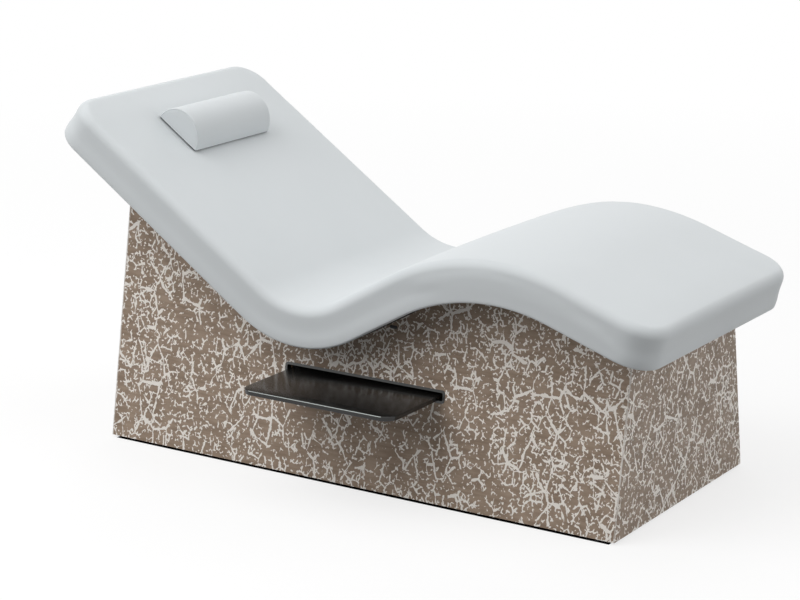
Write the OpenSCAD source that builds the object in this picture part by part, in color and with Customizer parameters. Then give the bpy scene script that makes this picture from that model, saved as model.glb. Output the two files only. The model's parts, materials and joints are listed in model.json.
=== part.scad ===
// Spa relaxation lounger: a wave-shaped upholstered pad on a leaning box base, with a
// pull-out tray and a half-round pillow. Millimetres. +X points to the foot end, +Y away
// from the tray side, +Z up. The origin is on the floor, under the middle of the base.

/* [Base] */
// Length of the box base at the floor
base_l = 1700; // [1500:5:1800]
// Width of the box base at the floor
base_w = 779; // [700:2:840]
// Lean of the two long sides, inwards going up
lean = 9.45; // [4:0.05:12]
// Thickness of the boards, ribs and end panels
board_t = 18; // [12:1:25]
// Thickness of the printed laminate on the boards
lam_t = 1; // [0.6:0.1:2]
// Height that the boards stand off the floor
plinth_gap = 7; // [3:1:15]
// Width of the plinth rails
rail_w = 30; // [20:1:50]
// Height of the plinth rails
rail_h = 30; // [20:1:50]
// Side of the square corner posts
post_w = 32; // [20:1:50]

/* [Wave of the pad] */
// Place of the lowest point of the seat along the length
seat_x = -126; // [-180:1:-80]
// Height of the pad's underside at the lowest point of the seat
seat_z = 401.3; // [380:0.1:440]
// Slope of the back
back_angle = 34.65; // [30:0.05:40]
// Distance that the pad's underside reaches past the base at the head end
head_overhang = 151.5; // [100:0.5:200]
// Radius of the underside below the seat
seat_r = 352; // [300:1:420]
// Slope under the thighs
thigh_angle = 29.65; // [26:0.05:33]
// Length of the straight part under the thighs
thigh_l = 189; // [150:1:220]
// Radius of the underside below the knees
knee_r = 552; // [480:1:620]
// Slope under the lower legs
leg_angle = 18.65; // [15:0.05:22]
// Distance that the pad's underside reaches past the base at the foot end
foot_overhang = 96.2; // [60:0.1:140]

/* [Pad] */
// Width of the pad
pad_w = 880; // [820:1:940]
// Thickness of the pad
pad_t = 118; // [100:1:135]
// Radius of the pad's four corners, seen from above
pad_corner_r = 95; // [70:1:140]
// Radius of the rounding along the upper edge
pad_top_r = 30; // [25:1:50]
// Radius of the rounding along the lower edge
pad_low_r = 8; // [6:1:18]
// Crown of the pad across its width
pad_crown = 5; // [0:0.5:10]
// Thickness of the upholstery cover
cover_t = 1.5; // [1:0.1:3]
// Width of the cover's turned-under border, measured past the lower rounding
hem_w = 39; // [20:1:45]
// Thickness of the dust cloth under the pad
cloth_t = 1; // [0.5:0.1:1.4]
// Thickness of the moulded plywood shell
shell_t = 15; // [12:1:20]

/* [Pillow] */
// Place of the pillow's middle along the back, from the head end
pillow_s = 232; // [210:1:400]
// Length of the pillow across the pad
pillow_l = 362; // [300:1:420]
// Radius of the half-round pillow
pillow_r = 81.5; // [65:0.5:95]
// Height of the flat base above the centre of the round
pillow_lift = 4; // [0:0.5:10]
// Rounding of the pillow's edges
pillow_edge = 5; // [3:0.5:8]
// Bulge of the pillow's round and ends
pillow_bulge = 2.5; // [0:0.5:5]
// Thickness of the non-slip sheet under the pillow
grip_t = 2.5; // [2:0.1:4]

/* [Tray] */
// Place of the tray's middle along the length
tray_x = 25; // [-10:1:60]
// Width of the tray along the lounger
tray_w = 500; // [400:1:540]
// Depth of the tray, front to rear
tray_d = 400; // [360:1:440]
// Thickness of the tray
tray_t = 13; // [6:0.5:16]
// Height of the tray's top above the floor
tray_top = 304; // [290:1:310]
// Distance that the pulled-out tray's front stands off the floor line of its side
tray_reach = 197; // [150:1:210]
// Radius of the tray's two front corners
tray_corner_r = 40; // [20:1:80]
// Free width of the slot on each side of the tray
slot_side = 11; // [3:0.5:16]
// Free height above the tray in the slot
slot_head = 9; // [7:0.5:20]
// Width of the slot trim's flange
trim_w = 7; // [4:0.5:12]
// Thickness of the slot trim's metal
trim_t = 1.5; // [1:0.1:2.5]
// Travel of the tray from pulled out to pushed in
tray_travel = 222; // [150:1:230]

/* [Blanking cap] */
// Place of the oval cap along the length
cap_x = 108; // [80:1:130]
// Distance of the oval cap's middle below the pad's underside
cap_drop = 14; // [10:0.5:25]
// Width of the oval cap
cap_w = 24; // [18:1:30]
// Height of the oval cap's face
cap_h = 9; // [7:0.5:12]

/* [Fixings] */
// Length of each leg of the steel angles
angle_leg = 45; // [35:1:60]
// Width of the steel angles
angle_w = 40; // [25:1:60]
// Thickness of the steel angles
angle_t = 3; // [2:0.5:4]
// Distance of the steel angles from the middle of the lounger
angle_y = 130; // [80:1:170]
// Diameter of the screws
screw_d = 4; // [3:0.5:5]
// Length of the screws under the head
screw_l = 14; // [10:1:16]

/* [Hidden] */

// Overrun of every cut
cut = 2;
// Small clearance between pieces that are on different bodies
clear = 0.3;
// Thin gap between leaning or wide faces that lie on each other
thin_gap = 0.05;

// Colours
c_vinyl = [0.82, 0.84, 0.85];
c_print = [0.60, 0.55, 0.50];
c_wood = [0.78, 0.65, 0.48];
c_black = [0.10, 0.10, 0.11];
c_steel = [0.62, 0.63, 0.65];
c_tray = [0.17, 0.17, 0.18];
c_foam = [0.93, 0.88, 0.66];

// Leaning walls: half width at height z of a plane that lies o behind the outer face
function wall_y(z, o) = base_w / 2 - z * tan(lean) - o / cos(lean);
wall_in = lam_t + board_t;

// Wave of the underside, as a run of straights and arcs from the head to the foot
function along(a) = [cos(a), sin(a)];
function square_to(a) = [-sin(a), cos(a)];
function seat_arc(a) = [seat_x, seat_z + seat_r] - seat_r * square_to(a);
function arc_len(r, a) = r * a * PI / 180;
function arc_deg(r, l) = l / r * 180 / PI;
back_l = (base_l / 2 + head_overhang + seat_arc(-back_angle)[0]) / cos(back_angle);
s_seat = back_l;
s_thigh = s_seat + arc_len(seat_r, back_angle + thigh_angle);
s_knee = s_thigh + thigh_l;
s_leg = s_knee + arc_len(knee_r, thigh_angle + leg_angle);
knee_start = seat_arc(thigh_angle) + thigh_l * along(thigh_angle);
knee_centre = knee_start - knee_r * square_to(thigh_angle);
function knee_arc(a) = knee_centre + knee_r * square_to(a);
leg_l = (base_l / 2 + foot_overhang - knee_arc(-leg_angle)[0]) / cos(leg_angle);
pad_l = s_leg + leg_l;
function wave_angle(s) =
    s < s_seat ? -back_angle
    : s < s_thigh ? -back_angle + arc_deg(seat_r, s - s_seat)
    : s < s_knee ? thigh_angle
    : s < s_leg ? thigh_angle - arc_deg(knee_r, s - s_knee)
    : -leg_angle;
function wave_base(s) =
    s < s_seat ? seat_arc(-back_angle) + (s - s_seat) * along(-back_angle)
    : s < s_thigh ? seat_arc(wave_angle(s))
    : s < s_knee ? seat_arc(thigh_angle) + (s - s_thigh) * along(thigh_angle)
    : s < s_leg ? knee_arc(wave_angle(s))
    : knee_arc(-leg_angle) + (s - s_leg) * along(-leg_angle);
// Point at s along the wave and n above its underside, as [x, z]
function wave_at(s, n) = wave_base(s) + n * square_to(wave_angle(s));

// Stations along the wave: corner steps at both ends, arc steps between
corner_steps = 5;
seat_steps = 8;
knee_steps = 6;
mid_s = concat(
    [for (k = [0 : seat_steps]) s_seat + (s_thigh - s_seat) * k / seat_steps],
    [for (k = [0 : knee_steps]) s_knee + (s_leg - s_knee) * k / knee_steps]
);
last = 2 * corner_steps + 1 + len(mid_s);
function corner_deg(i) = 90 * i / corner_steps;
function corner_in(i, d) = pad_corner_r - (pad_corner_r - d) * cos(corner_deg(i));
function corner_out(i, d) =
    pad_w / 2 - pad_corner_r + (pad_corner_r - d) * sin(corner_deg(i));
// Place along the wave and half width at station i, on an outline drawn in by d
function station_s(i, d) =
    i <= corner_steps ? corner_in(i, d)
    : i >= last - corner_steps ? pad_l - corner_in(last - i, d)
    : mid_s[i - corner_steps - 1];
function station_y(i, d) =
    i <= corner_steps ? corner_out(i, d)
    : i >= last - corner_steps ? corner_out(last - i, d)
    : pad_w / 2 - d;

// A layer of the pad: outlines stacked as levels [drawn in by, height above underside]
across = 4;
ring_n = 2 * last + 2 * across;
function ring_at(i, j) =
    j == 0 ? i
    : i == last ? last + j
    : j == across ? 2 * last + across - i
    : 2 * last + 2 * across - j;
function layer_point(i, j, d, n) =
    let (p = wave_at(station_s(i, d), n))
    [p[0], station_y(i, d) * (2 * j / across - 1), p[1]];
function ring_i(p) = p <= last ? p : p <= last + across ? last
    : p <= 2 * last + across ? 2 * last + across - p : 0;
function ring_j(p) = p <= last ? 0 : p <= last + across ? p - last
    : p <= 2 * last + across ? across : 2 * last + 2 * across - p;
function crown_share(i, j) =
    (1 - pow(2 * j / across - 1, 2)) * min(1, i / corner_steps, (last - i) / corner_steps);

function ring_points(levels) = [for (l = levels, p = [0 : ring_n - 1])
    layer_point(ring_i(p), ring_j(p), l[0], l[1])];
function lid_points(levels, crown) = [for (i = [1 : last - 1], j = [1 : across - 1])
    layer_point(i, j, levels[len(levels) - 1][0],
        levels[len(levels) - 1][1] + crown * crown_share(i, j))];
function wind(f, out) = out ? f : [f[0], f[2], f[1]];
// Faces between a lower ring that starts at point a and an upper one that starts at b
function band(a, b, out = true) = [for (p = [0 : ring_n - 1])
    let (q = (p + 1) % ring_n)
    each [wind([a + p, b + p, b + q], out), wind([a + p, b + q, a + q], out)]];
function lid_at(a, i, j) =
    i == 0 || i == last || j == 0 || j == across
        ? a + ring_at(i, j)
        : a + ring_n + (i - 1) * (across - 1) + j - 1;
// Sides and lid of a stack of levels whose points start at a
function stack(a, levels, out = true) =
    let (top = len(levels) - 1)
    concat(
        [for (k = [0 : top - 1]) each band(a + k * ring_n, a + (k + 1) * ring_n, out)],
        [for (i = [0 : last - 1], j = [0 : across - 1])
            let (t = a + top * ring_n, p = lid_at(t, i, j), q = lid_at(t, i + 1, j + 1))
            each [wind([p, lid_at(t, i, j + 1), q], out), wind([p, q, lid_at(t, i + 1, j)], out)]]);

module layer(levels, crown = 0) {
    floor_mid = [for (i = [1 : last - 2])
        let (a = i, b = i + 1, c = ring_at(i + 1, across), d = ring_at(i, across))
        each [[a, b, c], [a, c, d]]];
    floor_head = concat(
        [for (j = [0 : across - 1]) [1, ring_at(0, j + 1), ring_at(0, j)]],
        [[1, ring_at(1, across), ring_at(0, across)]]);
    floor_foot = concat(
        [for (j = [0 : across - 1]) [last - 1, ring_at(last, j), ring_at(last, j + 1)]],
        [[last - 1, ring_at(last, across), ring_at(last - 1, across)]]);
    polyhedron(
        concat(ring_points(levels), lid_points(levels, crown)),
        concat(stack(0, levels), floor_mid, floor_head, floor_foot));
}

// A skin between two stacks of levels, open below inside their first rings
module skin(outside, inside, crown) {
    outer = concat(ring_points(outside), lid_points(outside, crown));
    start = len(outer);
    polyhedron(
        concat(outer, ring_points(inside), lid_points(inside, crown)),
        concat(stack(0, outside), stack(start, inside, false), band(start, 0)));
}

// Levels of the cover's outside and inside
edge_steps = 4;
lining_steps = 3;
function low_round(t, steps) = [for (k = [0 : steps])
    [pad_low_r - (pad_low_r - t) * sin(90 * k / steps), pad_low_r - (pad_low_r - t) * cos(90 * k / steps)]];
function top_round(t, steps) = [for (k = [0 : steps])
    [pad_top_r - (pad_top_r - t) * cos(90 * k / steps),
     pad_t - pad_top_r + (pad_top_r - t) * sin(90 * k / steps)]];
shell_top = cover_t + shell_t;
topper_low = pad_t - pad_top_r;
hem_in = pad_low_r + hem_w;
under_n = cover_t - cloth_t;

// Line of the pad's underside, as the dust cloth lies on the boards
under_line = [for (s = concat([0], mid_s, [pad_l])) wave_at(s, under_n)];
function under_z(x) = lookup(x, under_line);
wall_top = under_z(-base_l / 2) + board_t;

// Region below that line, across the whole width
module under_wave() {
    rotate([90, 0, 0])
        linear_extrude(height = base_w + 2 * cut, center = true)
            polygon(concat(under_line, [[base_l / 2 + foot_overhang, 0], [-base_l / 2 - head_overhang, 0]]));
}

// Leaning slab on one side, between two depths behind the outer face
module wall(side, o0, o1, x0, x1, z0) {
    translate([x0, 0, 0]) rotate([90, 0, 90]) linear_extrude(height = x1 - x0)
        polygon([
            [side * wall_y(z0, o0), z0], [side * wall_y(z0, o1), z0],
            [side * wall_y(wall_top, o1), wall_top], [side * wall_y(wall_top, o0), wall_top]
        ]);
}

// Upright panel between the two long sides, at a depth behind their outer faces
module crosswall(o, x0, t, z0) {
    translate([x0, 0, 0]) rotate([90, 0, 90]) linear_extrude(height = t)
        polygon([
            [-wall_y(z0, o), z0], [wall_y(z0, o), z0],
            [wall_y(wall_top, o), wall_top], [-wall_y(wall_top, o), wall_top]
        ]);
}

// Slot for the tray, its trim and the cap
slot_gap = 0.7;
fit_gap = 0.2;
slot_w = tray_w + 2 * slot_side;
slot_low = tray_top - tray_t - slot_gap;
slot_h = tray_t + slot_gap + slot_head;
slot_r = 3;
cap_z = under_z(cap_x) - cap_drop;
cap_rim = 2.2;
cap_body_w = cap_w - 2 * cap_rim;
cap_body_h = cap_h - 2 * cap_rim;
cap_lip = 1.2;
cap_round_share = 0.48;

// Flat oblong with round corners, centred
module oblong(w, h, r) {
    square([w - 2 * r, h], center = true);
    square([w, h - 2 * r], center = true);
    for (x = [-1, 1], y = [-1, 1])
        translate([x * (w / 2 - r), y * (h / 2 - r)]) circle(r = r, $fn = 32);
}

// Bar with the slot's shape, grown by g, that runs level through the near side
module slot_bar(g) {
    translate([tray_x, -base_w / 4, slot_low + slot_h / 2]) rotate([90, 0, 0])
        linear_extrude(height = base_w / 2)
            oblong(slot_w + 2 * g, slot_h + 2 * g, slot_r + g);
}

// Frame on the outside of the near face at height z, with Z pointing out of the face
module on_near_face(x, z) {
    translate([x, -wall_y(z, 0), z]) rotate([90 - lean, 0, 0]) children();
}

module cap_hole() {
    on_near_face(cap_x, cap_z)
        translate([0, 0, -wall_in - cut])
            linear_extrude(height = wall_in + 2 * cut)
                oblong(cap_body_w + 2 * fit_gap, cap_body_h + 2 * fit_gap, cap_body_h * cap_round_share);
}

// Places of the ribs: the two beside the tray carry its guides
guide_web = 9;
guide_in = 12;
guide_lip = 5;
seat_rib_x = tray_x - tray_w / 2 - clear - guide_web - board_t;
knee_rib_x = tray_x + tray_w / 2 + clear + guide_web;
back_rib_share = 0.66;
leg_rib_share = 0.81;
back_rib_x = -base_l / 2 * back_rib_share;
leg_rib_x = base_l / 2 * leg_rib_share;

// Tray in its pulled-out place
tray_front = -base_w / 2 - tray_reach;
tray_rear = tray_front + tray_d;
bar_w = 18;
bar_h = 12;
bar_screw_count = 4;
guide_h = 60;
guide_low = tray_top - tray_t - clear - guide_lip;
guide_front = -wall_y(guide_low + guide_h, wall_in) + clear;
guide_rear = tray_rear + tray_travel + bar_w;
groove = tray_t + 2 * clear;
guide_top = tray_top + clear + guide_lip;
nib_l = 14;
nib_in = 10;
guide_screw_count = 3;

module plinth_long(side) {
    color(c_black)
        translate([-base_l / 2 + wall_in, 0, 0]) rotate([90, 0, 90])
            linear_extrude(height = base_l - 2 * wall_in)
                polygon([
                    [side * wall_y(0, wall_in + thin_gap), 0],
                    [side * (wall_y(0, wall_in) - rail_w), 0],
                    [side * (wall_y(0, wall_in) - rail_w), rail_h],
                    [side * wall_y(rail_h, wall_in + thin_gap), rail_h]
                ]);
}
module plinth_cross(x) {
    w = 2 * (wall_y(0, wall_in) - rail_w);
    color(c_black) translate([x, -w / 2, 0]) cube([rail_w, w, rail_h]);
}
module plinth_rail_near() plinth_long(-1);
module plinth_rail_far() plinth_long(1);
module plinth_rail_head() plinth_cross(-base_l / 2 + wall_in);
module plinth_rail_mid() plinth_cross(-rail_w / 2);
module plinth_rail_foot() plinth_cross(base_l / 2 - wall_in - rail_w);

module side_board(side) {
    intersection() {
        wall(side, lam_t, wall_in, -base_l / 2 + lam_t, base_l / 2 - lam_t, plinth_gap);
        under_wave();
    }
}
module side_board_near() color(c_wood) difference() {
    side_board(-1);
    slot_bar(trim_t + fit_gap);
    cap_hole();
}
module side_board_far() color(c_wood) side_board(1);

module end_board(x0) {
    color(c_wood) intersection() {
        crosswall(wall_in + thin_gap, x0, board_t, plinth_gap);
        under_wave();
    }
}
module head_board() end_board(-base_l / 2 + lam_t);
module foot_board() end_board(base_l / 2 - wall_in);

module side_laminate(side) {
    intersection() {
        wall(side, 0, lam_t, -base_l / 2, base_l / 2, plinth_gap);
        under_wave();
    }
}
module near_laminate() color(c_print) difference() {
    side_laminate(-1);
    slot_bar(trim_t + fit_gap);
    cap_hole();
}
module far_laminate() color(c_print) side_laminate(1);

module end_laminate(x0) {
    color(c_print) intersection() {
        crosswall(lam_t, x0, lam_t, plinth_gap);
        under_wave();
    }
}
module head_laminate() end_laminate(-base_l / 2);
module foot_laminate() end_laminate(base_l / 2 - lam_t);

module corner_post(side, x0) {
    color(c_wood) intersection() {
        wall(side, wall_in + thin_gap, wall_in + post_w, x0, x0 + post_w, rail_h);
        under_wave();
    }
}
post_head_x = -base_l / 2 + wall_in;
post_foot_x = base_l / 2 - wall_in - post_w;
module corner_post_near_head() corner_post(-1, post_head_x);
module corner_post_far_head() corner_post(1, post_head_x);
module corner_post_near_foot() corner_post(-1, post_foot_x);
module corner_post_far_foot() corner_post(1, post_foot_x);

module rib(x0) {
    color(c_wood) intersection() {
        crosswall(wall_in + thin_gap, x0, board_t, rail_h);
        under_wave();
    }
}
module back_rib() rib(back_rib_x);
module seat_rib() rib(seat_rib_x);
module knee_rib() rib(knee_rib_x);
module leg_rib() rib(leg_rib_x);

// Steel angle: one leg on the upright face at x, the other under the sloping shell
angle_hole_share = 0.62;
module angle_profile(side, slope) {
    u = side * along(slope);
    n = square_to(slope);
    reach = (angle_t - side * angle_t * sin(slope)) / cos(slope);
    bend = -angle_t * n + reach * u;
    polygon([
        [0, 0], angle_leg * u, angle_leg * u - angle_t * n, bend,
        [side * angle_t, -angle_leg], [0, -angle_leg]
    ]);
}
// Slope of the underside over one leg of an angle
function slope_at(x, side) = atan((under_z(x + side * angle_leg) - under_z(x)) / (side * angle_leg));
module at_upright_screw(x, side) {
    for (y = [-angle_y, angle_y])
        translate([x + side * angle_t, y, under_z(x) - angle_leg * angle_hole_share])
            rotate([0, side * 90, 0]) children();
}
module at_slope_screw(x, side) {
    slope = slope_at(x, side);
    p = angle_leg * angle_hole_share * side * along(slope) - angle_t * square_to(slope);
    for (y = [-angle_y, angle_y])
        translate([x + p[0], y, under_z(x) + p[1]]) rotate([0, 180 - slope, 0]) children();
}
module screw_hole() {
    translate([0, 0, -angle_t - cut])
        cylinder(d = screw_d + 2 * fit_gap, h = angle_t + 2 * cut, $fn = 32);
}
module angles(x, side) {
    color(c_steel) difference() {
        for (y = [-angle_y, angle_y])
            translate([x, y + angle_w / 2, under_z(x)]) rotate([90, 0, 0])
                linear_extrude(height = angle_w) angle_profile(side, slope_at(x, side));
        at_upright_screw(x, side) screw_hole();
        at_slope_screw(x, side) screw_hole();
    }
}
head_angle_x = -base_l / 2 + wall_in;
back_angle_x = back_rib_x + board_t;
leg_angle_x = leg_rib_x + board_t;
foot_angle_x = base_l / 2 - wall_in;
module head_angles() angles(head_angle_x, 1);
module back_angles() angles(back_angle_x, 1);
module leg_angles() angles(leg_angle_x, 1);
module foot_angles() angles(foot_angle_x, -1);

// Pan-head screw: the head stands on z = 0 and the shank points down
module screw(l = screw_l) {
    head_r = screw_d;
    head_h = 0.65 * screw_d;
    tip = screw_d / 2;
    rotate_extrude($fn = 32) polygon([
        [0, -l], [tip, -l + tip], [tip, 0], [head_r, 0], [head_r, head_h / 2],
        [head_r * 0.7, head_h], [0, head_h]
    ]);
}
module angle_screws() color(c_steel) {
    for (x = [head_angle_x, back_angle_x, leg_angle_x]) {
        at_upright_screw(x, 1) screw();
        at_slope_screw(x, 1) screw();
    }
    at_upright_screw(foot_angle_x, -1) screw();
    at_slope_screw(foot_angle_x, -1) screw();
}

// Trim of the slot: a flange on the face and a sleeve through the wall
module slot_trim() color(c_steel) difference() {
    union() {
        on_near_face(tray_x, slot_low + slot_h / 2)
            linear_extrude(height = trim_t)
                oblong(slot_w + 2 * trim_w, (slot_h + 2 * trim_w) / cos(lean), slot_r + trim_w);
        intersection() {
            slot_bar(trim_t);
            wall(-1, -trim_t / 2, wall_in, -base_l / 2, base_l / 2, plinth_gap);
        }
    }
    slot_bar(0);
}

module blanking_cap() color(c_black) on_near_face(cap_x, cap_z) {
    linear_extrude(height = cap_lip) oblong(cap_w, cap_h, cap_h * cap_round_share);
    translate([0, 0, -wall_in])
        linear_extrude(height = wall_in) oblong(cap_body_w, cap_body_h, cap_body_h * cap_round_share);
}

// Grooved guide for one edge of the tray, with a screwed web and a stop nib
module tray_guide(side) {
    l = guide_rear - guide_front;
    edge = tray_x + side * (tray_w / 2 + clear);
    nib_y = tray_rear - bar_w - clear - nib_l;
    color(c_black) difference() {
        union() {
            translate([edge, guide_front, guide_low])
                mirror([side < 0 ? 1 : 0, 0, 0]) {
                    cube([guide_web, l, guide_h]);
                    translate([-guide_in, 0, 0])
                        cube([guide_in + guide_web, l, guide_top - guide_low]);
                }
            translate([edge, nib_y, guide_top - guide_lip])
                mirror([side < 0 ? 1 : 0, 0, 0])
                    translate([-guide_in - nib_in, 0, 0])
                        cube([guide_in + nib_in + guide_web, nib_l, bar_h]);
        }
        translate([edge, guide_front - cut, tray_top - tray_t - clear])
            mirror([side < 0 ? 1 : 0, 0, 0])
                translate([-guide_in - cut, 0, 0])
                    cube([guide_in + cut, l + 2 * cut, groove]);
        at_guide_screws(side) guide_hole();
    }
}
module at_guide_screws(side) {
    edge = tray_x + side * (tray_w / 2 + clear);
    step = (guide_rear - guide_front) / guide_screw_count;
    for (k = [0 : guide_screw_count - 1])
        translate([edge, guide_front + step * (k + 0.5), (guide_top + bar_h + guide_low + guide_h) / 2])
            rotate([0, -side * 90, 0]) children();
}
module guide_hole() {
    translate([0, 0, -guide_web - cut])
        cylinder(d = screw_d + 2 * fit_gap, h = guide_web + 2 * cut, $fn = 32);
}
module tray_guide_head() tray_guide(-1);
module tray_guide_foot() tray_guide(1);
module guide_screws() color(c_steel) {
    at_guide_screws(-1) screw();
    at_guide_screws(1) screw();
}

// Tray: round front corners, square rear, and a stop bar across its rear edge
module tray_plate() color(c_tray)
    translate([tray_x, tray_front, tray_top - tray_t])
        linear_extrude(height = tray_t) {
            translate([-tray_w / 2, tray_corner_r]) square([tray_w, tray_d - tray_corner_r]);
            translate([-tray_w / 2 + tray_corner_r, 0])
                square([tray_w - 2 * tray_corner_r, tray_corner_r]);
            for (x = [-1, 1])
                translate([x * (tray_w / 2 - tray_corner_r), tray_corner_r])
                    circle(r = tray_corner_r, $fn = 96);
        }
bar_l = tray_w - 2 * (guide_in + clear) - 2 * clear;
module at_bar_screws() {
    step = bar_l / bar_screw_count;
    for (k = [0 : bar_screw_count - 1])
        translate([tray_x - bar_l / 2 + step * (k + 0.5), tray_rear - bar_w / 2, tray_top + bar_h])
            children();
}
module tray_stop_bar() color(c_black) difference() {
    translate([tray_x - bar_l / 2, tray_rear - bar_w, tray_top]) cube([bar_l, bar_w, bar_h]);
    at_bar_screws() translate([0, 0, -bar_h - cut])
        cylinder(d = screw_d + 2 * fit_gap, h = bar_h + 2 * cut, $fn = 32);
}
bar_screw_l = bar_h + 0.7 * tray_t;
module stop_bar_screws() color(c_steel) at_bar_screws() screw(bar_screw_l);

// Pad: moulded shell, two layers of foam, cover and dust cloth
module pad_shell() color(c_wood)
    layer(concat(low_round(cover_t, 1), [[cover_t, shell_top]]));
module dust_cloth() color(c_black)
    layer([[hem_in + fit_gap, under_n], [hem_in + fit_gap, cover_t - thin_gap]]);
module foam_core() color(c_foam)
    layer([[cover_t, shell_top], [cover_t, topper_low]]);
module foam_topper() color(c_foam)
    layer(top_round(cover_t, lining_steps), pad_crown);
module pad_cover() color(c_vinyl)
    skin(
        concat([[hem_in, 0]], low_round(0, 2), top_round(0, edge_steps)),
        concat([[hem_in, cover_t]], low_round(cover_t, 1), [[cover_t, shell_top]],
            top_round(cover_t, lining_steps)),
        pad_crown);

// Frame on the top of the straight back, with X down the slope and Z off the pad
module on_back(s, n) {
    p = wave_at(s, n);
    translate([p[0], 0, p[1]]) rotate([0, back_angle, 0]) children();
}

// Pillow: rings of a half-round section, drawn in at the ends and bulged in the middle
pillow_steps = 14;
pillow_rings_share = [0, 0.35, 0.7, 1];
pillow_tips_share = [[0, 0.6], [0.3, 0.15]];
function pillow_section(y, i, b) =
    let (
        r = pillow_r - i + b,
        low = asin((pillow_lift + pillow_edge + i) / r),
        half = sqrt(r * r - pow(pillow_lift + i, 2)) - pillow_edge
    )
    concat([[half, y, i]],
        [for (k = [0 : pillow_steps])
            let (a = low + (180 - 2 * low) * k / pillow_steps)
            [r * cos(a), y, r * sin(a) - pillow_lift]],
        [[-half, y, i]]);
module pillow_form(t) {
    end = pillow_l / 2 - t;
    tips = [for (u = pillow_tips_share) [end - u[0] * pillow_edge, t + u[1] * pillow_edge]];
    near = [for (q = tips) pillow_section(-q[0], q[1], 0)];
    middle = [for (u = pillow_rings_share)
        let (y = (2 * u - 1) * (end - pillow_edge))
        pillow_section(y, t, pillow_bulge * (1 - pow(2 * u - 1, 2)))];
    far = [for (q = [tips[1], tips[0]]) pillow_section(q[0], q[1], 0)];
    rings = concat(near, middle, far);
    m = len(rings[0]);
    tip_z = 0.42 * pillow_r;
    points = concat([for (r = rings, p = r) p],
        [[0, -end - pillow_bulge, tip_z], [0, end + pillow_bulge, tip_z]]);
    a0 = len(rings) * m;
    faces = concat(
        [for (k = [0 : len(rings) - 2], p = [0 : m - 1])
            let (q = (p + 1) % m, a = k * m, b = (k + 1) * m)
            each [[a + p, a + q, b + q], [a + p, b + q, b + p]]],
        [for (p = [0 : m - 1]) [a0, (p + 1) % m, p]],
        [for (p = [0 : m - 1]) [a0 + 1, a0 - m + p, a0 - m + (p + 1) % m]]);
    polyhedron(points, faces);
}
grip_in = 12;
pillow_n = pad_t + pad_crown + clear + grip_t - cover_t;
grip_w = 2 * (pillow_r - grip_in);
grip_l = pillow_l - 2 * grip_in;
module pillow_cover() color(c_vinyl) on_back(pillow_s, pillow_n) difference() {
    pillow_form(0);
    pillow_form(cover_t);
    translate([-grip_w / 2 - fit_gap, -grip_l / 2 - fit_gap, -cut])
        cube([grip_w + 2 * fit_gap, grip_l + 2 * fit_gap, cover_t + 2 * cut]);
}
module pillow_foam() color(c_foam) on_back(pillow_s, pillow_n) pillow_form(cover_t);
module pillow_grip_sheet() color(c_black) on_back(pillow_s, pillow_n)
    translate([-grip_w / 2, -grip_l / 2, cover_t - grip_t]) cube([grip_w, grip_l, grip_t]);

plinth_rail_near();
plinth_rail_far();
plinth_rail_head();
plinth_rail_mid();
plinth_rail_foot();
side_board_near();
side_board_far();
head_board();
foot_board();
near_laminate();
far_laminate();
head_laminate();
foot_laminate();
corner_post_near_head();
corner_post_far_head();
corner_post_near_foot();
corner_post_far_foot();
back_rib();
seat_rib();
knee_rib();
leg_rib();
head_angles();
back_angles();
leg_angles();
foot_angles();
angle_screws();
slot_trim();
tray_guide_head();
tray_guide_foot();
guide_screws();
blanking_cap();
pad_shell();
dust_cloth();
foam_core();
foam_topper();
pad_cover();
tray_plate();
tray_stop_bar();
stop_bar_screws();
pillow_cover();
pillow_foam();
pillow_grip_sheet();
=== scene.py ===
# %% [markdown]
# # A spa relaxation lounger
# The lounger is a wave-shaped pad on a printed box base, with a tray that pulls out of one
# side and a half-round pillow on the back. The boards, rails, guides and fixings come as a
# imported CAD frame. This lesson loads that frame, makes the soft pieces and the polished tray
# with Blender's mesh tools, and gives every piece the finish of the real one.

# %% Load the fixed frame
import json
import math

import bmesh
import bpy
from mathutils import Matrix, Vector


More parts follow.
